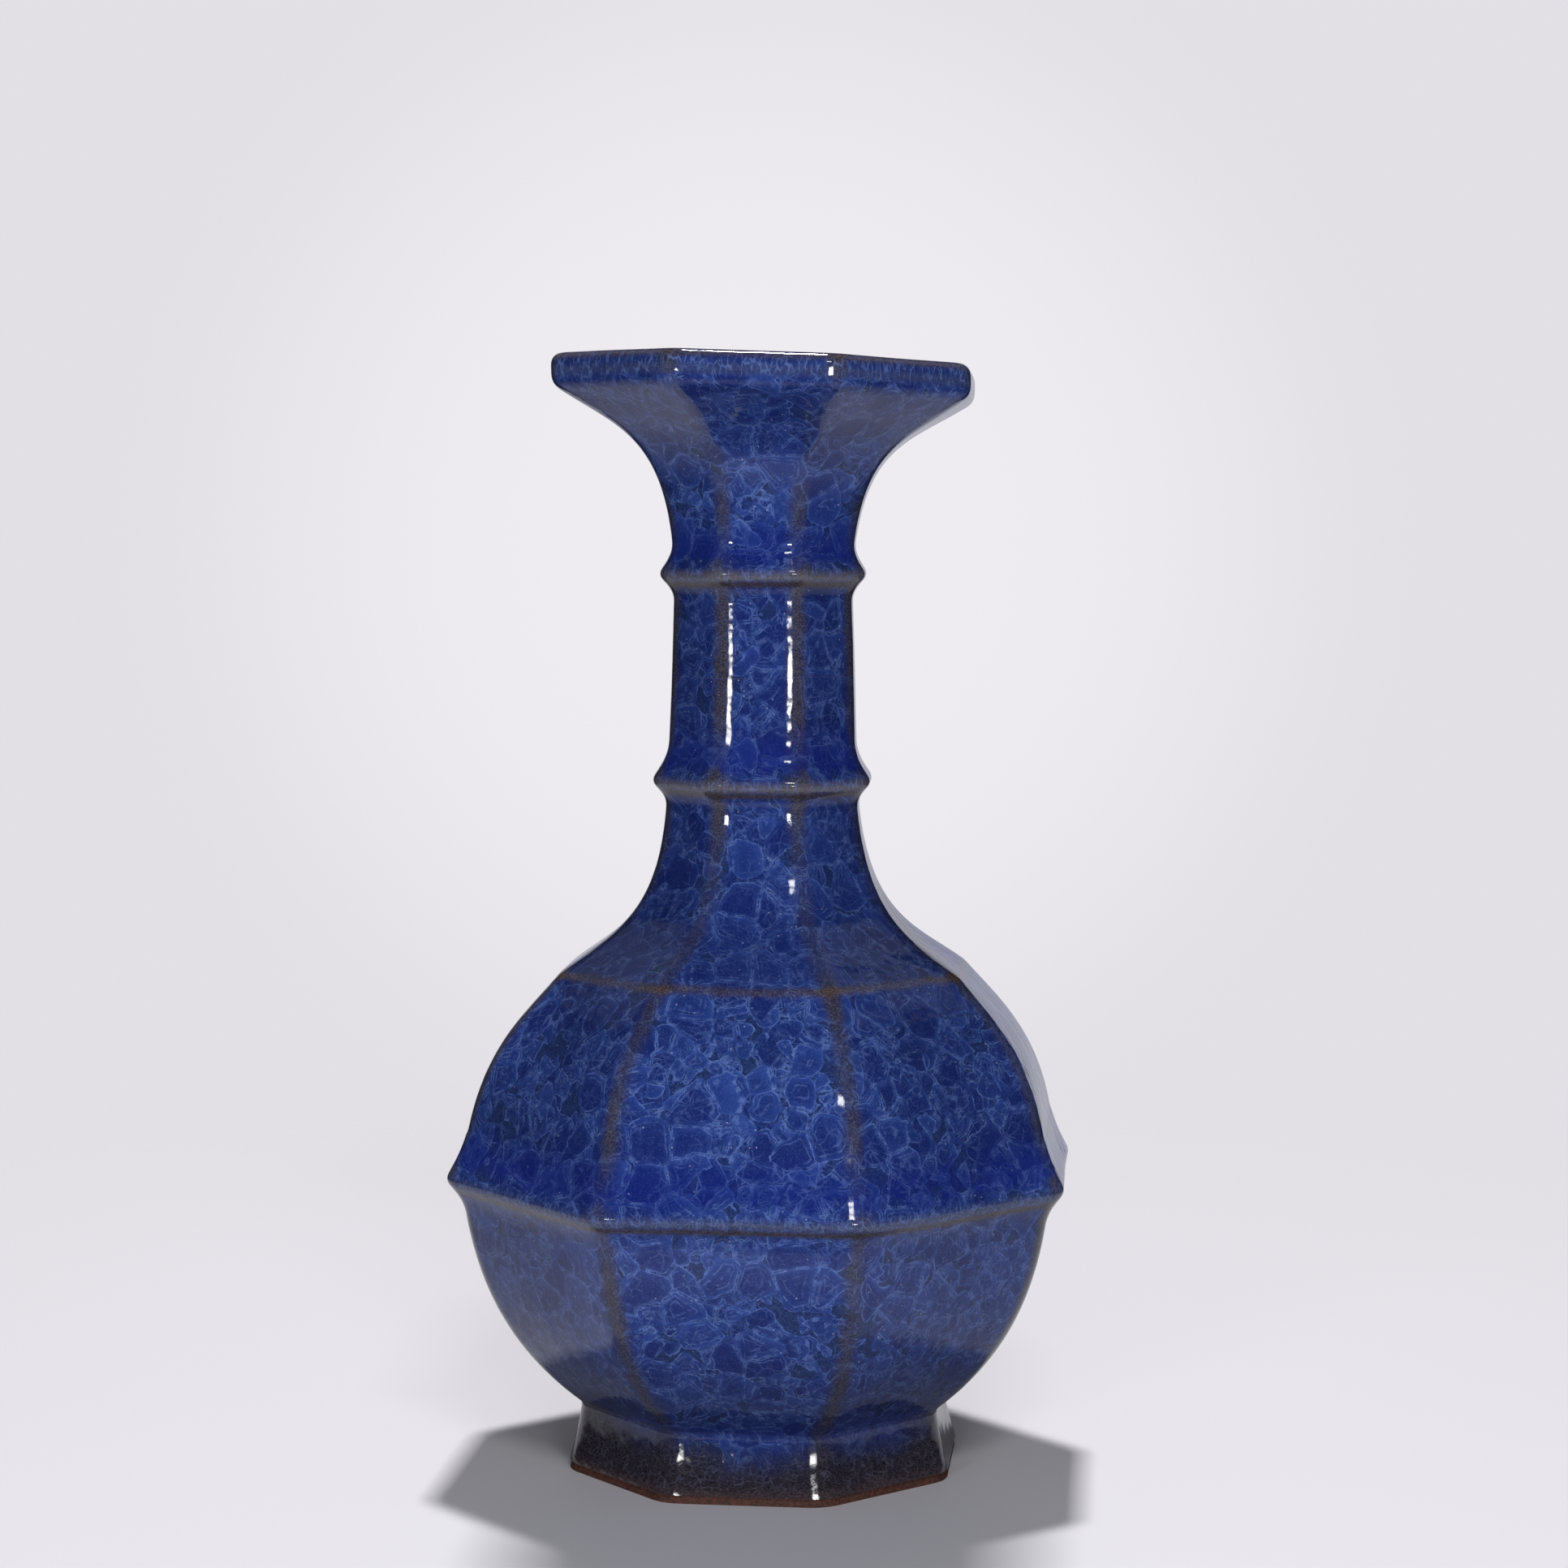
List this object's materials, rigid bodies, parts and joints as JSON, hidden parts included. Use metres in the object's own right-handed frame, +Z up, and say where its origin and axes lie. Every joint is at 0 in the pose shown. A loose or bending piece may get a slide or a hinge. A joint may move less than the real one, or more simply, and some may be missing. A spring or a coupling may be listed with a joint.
{
  "type": "bottle vase",
  "caption": "Faceted bottle vase with a spreading foot, full ridged body, tall ringed neck and wide flared mouth, in crackled blue glaze over brown clay.",
  "frame": {"origin": "middle of the foot, on the ground the vase stands on", "axes": "+Z up along the vase's axis; one flat side faces -Y; +X to the right of that side"},
  "size_m": [0.164, 0.164, 0.3],
  "materials": {
    "crackle_glaze": "deep cobalt blue glaze with layered crackle, thin and grey-brown on edges, high gloss",
    "inner_glaze": "the same blue glaze, plainer inside, high gloss",
    "bare_clay": "unglazed red-brown stoneware, matt",
    "clay": "fired stoneware clay under the glaze",
    "slip": "fired slip in the joints"
  },
  "bodies": {
    "root": {"foot_ring": "bare_clay", "foot_slip": "slip", "base_floor": "clay", "bowl_slip": "slip", "lower_body": "clay", "belly_slip": "slip", "belly_ridge": "clay", "upper_body": "clay", "shoulder_slip": "slip", "neck_base": "clay", "lower_ring_slip": "slip", "lower_neck_ring": "clay", "neck_tube": "clay", "upper_ring_slip": "slip", "upper_neck_ring": "clay", "mouth_trumpet": "clay", "lip_slip": "slip", "lip_rim": "clay", "outer_glaze": "crackle_glaze", "inner_glaze": "inner_glaze", "base_glaze": "inner_glaze"}
  },
  "joints": []
}
